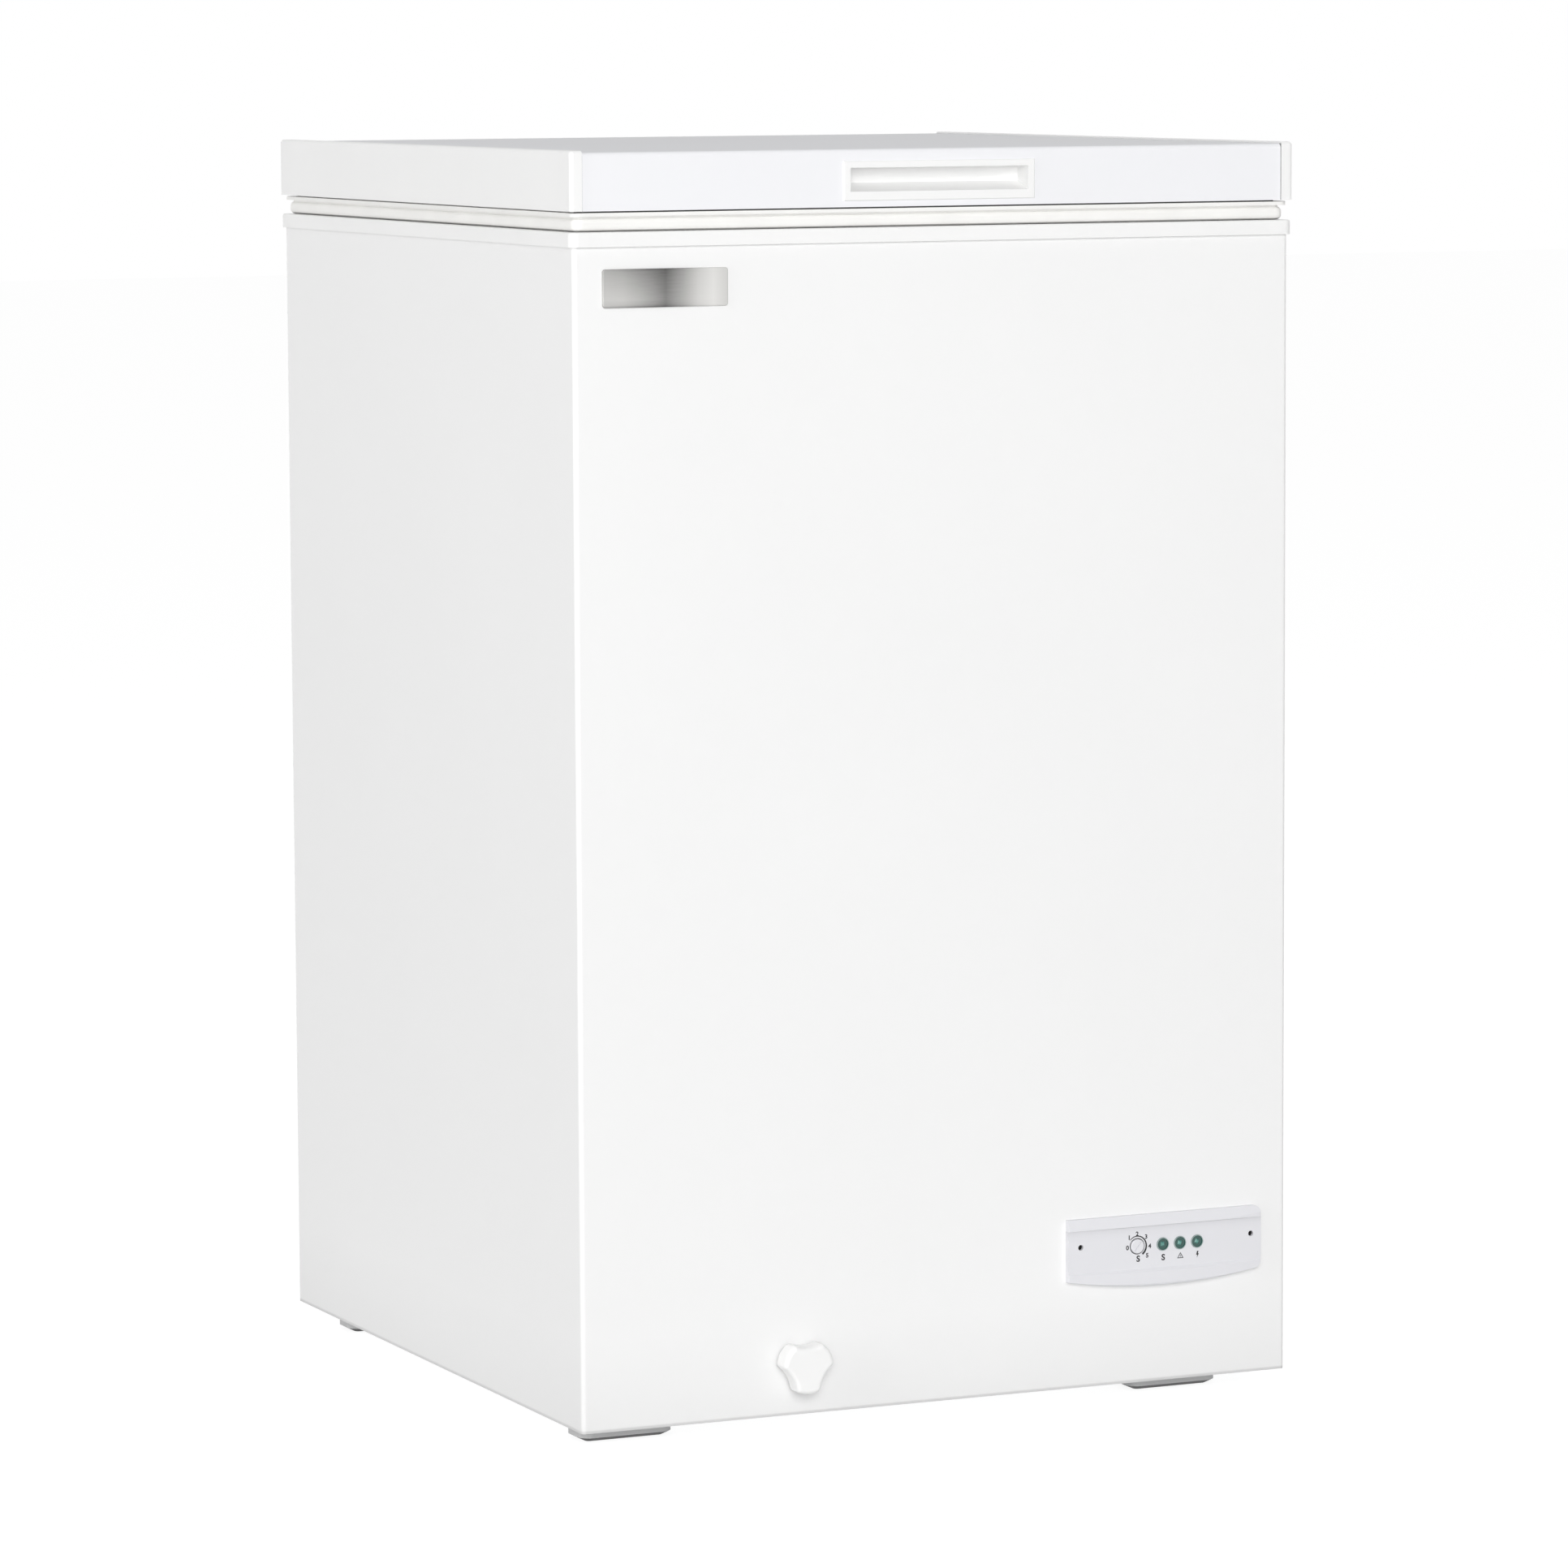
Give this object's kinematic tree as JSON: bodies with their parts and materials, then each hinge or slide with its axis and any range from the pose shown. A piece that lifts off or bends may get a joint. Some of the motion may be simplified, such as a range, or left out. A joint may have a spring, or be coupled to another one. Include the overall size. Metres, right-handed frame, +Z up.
{
  "type": "chest freezer",
  "caption": "Small white chest freezer with a top-hinged insulated lid, front control panel, front drain with screw cap, wire basket and a stepped tub over the compressor.",
  "frame": {"origin": "on the floor under the middle of the freezer's bounding box", "axes": "+X to the right as seen from the front, +Y towards the hinges at the rear, +Z up"},
  "size_m": [0.525, 0.565, 0.85],
  "materials": {
    "cabinet_paint": "gloss white paint with a very fine grain",
    "lid_paint": "gloss white paint",
    "white_plastic": "moulded white plastic",
    "panel_plastic": "satin light grey plastic",
    "gasket_rubber": "soft cream seal",
    "magnet_strip": "dark bonded magnet strip",
    "badge_silver": "brushed silver",
    "foot_plastic": "grey moulded plastic",
    "galvanised_steel": "galvanised sheet",
    "tub_aluminium": "stucco-embossed aluminium sheet",
    "foam": "rigid polyurethane foam",
    "liner_plastic": "vacuum-formed white plastic",
    "copper_tube": "bare copper",
    "aluminium_tube": "drawn tube",
    "steel_tube": "copper-washed steel tube",
    "compressor_paint": "black paint",
    "black_rubber": "moulded rubber",
    "black_plastic": "moulded plastic",
    "harness_sheath": "grey sheath",
    "drain_plastic": "moulded white plastic",
    "dial_plastic": "grey moulded plastic",
    "lamp_lens": "dark green faceted lens",
    "zinc_screw": "zinc-plated",
    "hinge_steel": "white powder coat",
    "spring_steel": "bright steel",
    "basket_coating": "white dipped coating",
    "grille_plastic": "moulded white plastic"
  },
  "bodies": {
    "cabinet": {"cabinet_wrap": "cabinet_paint", "rear_panel": "galvanised_steel", "base_pan": "galvanised_steel", "compressor_tray": "galvanised_steel", "bay_bulkhead": "galvanised_steel", "foam_insulation": "foam", "inner_liner": "tub_aluminium", "top_frame": "white_plastic", "evaporator_coil": "aluminium_tube", "condenser_coil": "steel_tube", "compressor_shell": "compressor_paint", "compressor_base_plate": "compressor_paint", "compressor_grommets": "black_rubber", "compressor_bolts": "zinc_screw", "terminal_cover": "black_plastic", "filter_drier": "copper_tube", "capillary_tube": "copper_tube", "suction_line": "copper_tube", "discharge_line": "copper_tube", "thermostat_body": "black_plastic", "wiring_harness": "harness_sheath", "control_fascia": "panel_plastic", "fascia_screws": "zinc_screw", "indicator_lamp_super": "lamp_lens", "indicator_lamp_alarm": "lamp_lens", "indicator_lamp_power": "lamp_lens", "badge_plate": "badge_silver", "vent_grille": "grille_plastic", "rear_cover": "galvanised_steel", "cover_screws": "zinc_screw", "cable_gland": "black_plastic", "drain_spout": "drain_plastic", "drain_elbow": "drain_plastic", "foot_front_left": "foot_plastic", "foot_front_right": "foot_plastic", "foot_rear_left": "foot_plastic", "foot_rear_right": "foot_plastic", "foot_screws": "zinc_screw", "hinge_bracket_left": "hinge_steel", "hinge_bracket_right": "hinge_steel", "hinge_backing_plates": "galvanised_steel", "hinge_bracket_screws": "zinc_screw", "hinge_pins": "spring_steel", "hinge_springs": "spring_steel"},
    "lid": {"lid_skin": "lid_paint", "lid_end_cap_left": "white_plastic", "lid_end_cap_right": "white_plastic", "lid_foam": "foam", "lid_liner": "liner_plastic", "lid_gasket": "gasket_rubber", "gasket_magnets": "magnet_strip", "lid_handle": "white_plastic", "hinge_arm_left": "hinge_steel", "hinge_arm_right": "hinge_steel", "hinge_arm_screws": "zinc_screw"},
    "thermostat_dial": {"thermostat_dial": "dial_plastic"},
    "drain_seal": {"drain_seal": "black_rubber"},
    "drain_cap": {"drain_cap": "drain_plastic"},
    "drain_stopper": {"drain_stopper": "drain_plastic"},
    "wire_basket": {"wire_basket": "basket_coating"}
  },
  "joints": [
    {"name": "lid_hinge", "type": "hinge", "parent": "cabinet", "child": "lid", "pos_m": [0, 0.276, 0.804], "axis": [-1, 0, 0], "range_deg": [0, 80], "stiffness_Nm_per_rad": 2.2, "springref_deg": 137.51},
    {"name": "thermostat_dial_turn", "type": "hinge", "parent": "cabinet", "child": "thermostat_dial", "pos_m": [0.1447, -0.2665, 0.1082], "axis": [0, -1, 0], "range_deg": [-134, 130]},
    {"name": "drain_seal_travel", "type": "slide", "parent": "cabinet", "child": "drain_seal", "axis": [0, -1, 0], "range_m": [0, 0.006]},
    {"name": "drain_cap_turn", "type": "hinge", "parent": "drain_seal", "child": "drain_cap", "pos_m": [-0.1036, -0.28, 0.0478], "axis": [0, -1, 0], "range_deg": [0, 720]},
    {"name": "drain_stopper_lift", "type": "slide", "parent": "cabinet", "child": "drain_stopper", "axis": [0, 0, 1], "range_m": [0, 0.04]},
    {"name": "basket_slide", "type": "slide", "parent": "cabinet", "child": "wire_basket", "axis": [1, 0, 0], "range_m": [-0.236, 0]}
  ],
  "couplings": [
    {"joint": "drain_cap_turn", "follows": "drain_seal_travel", "rad_per_m": 2094.4}
  ]
}
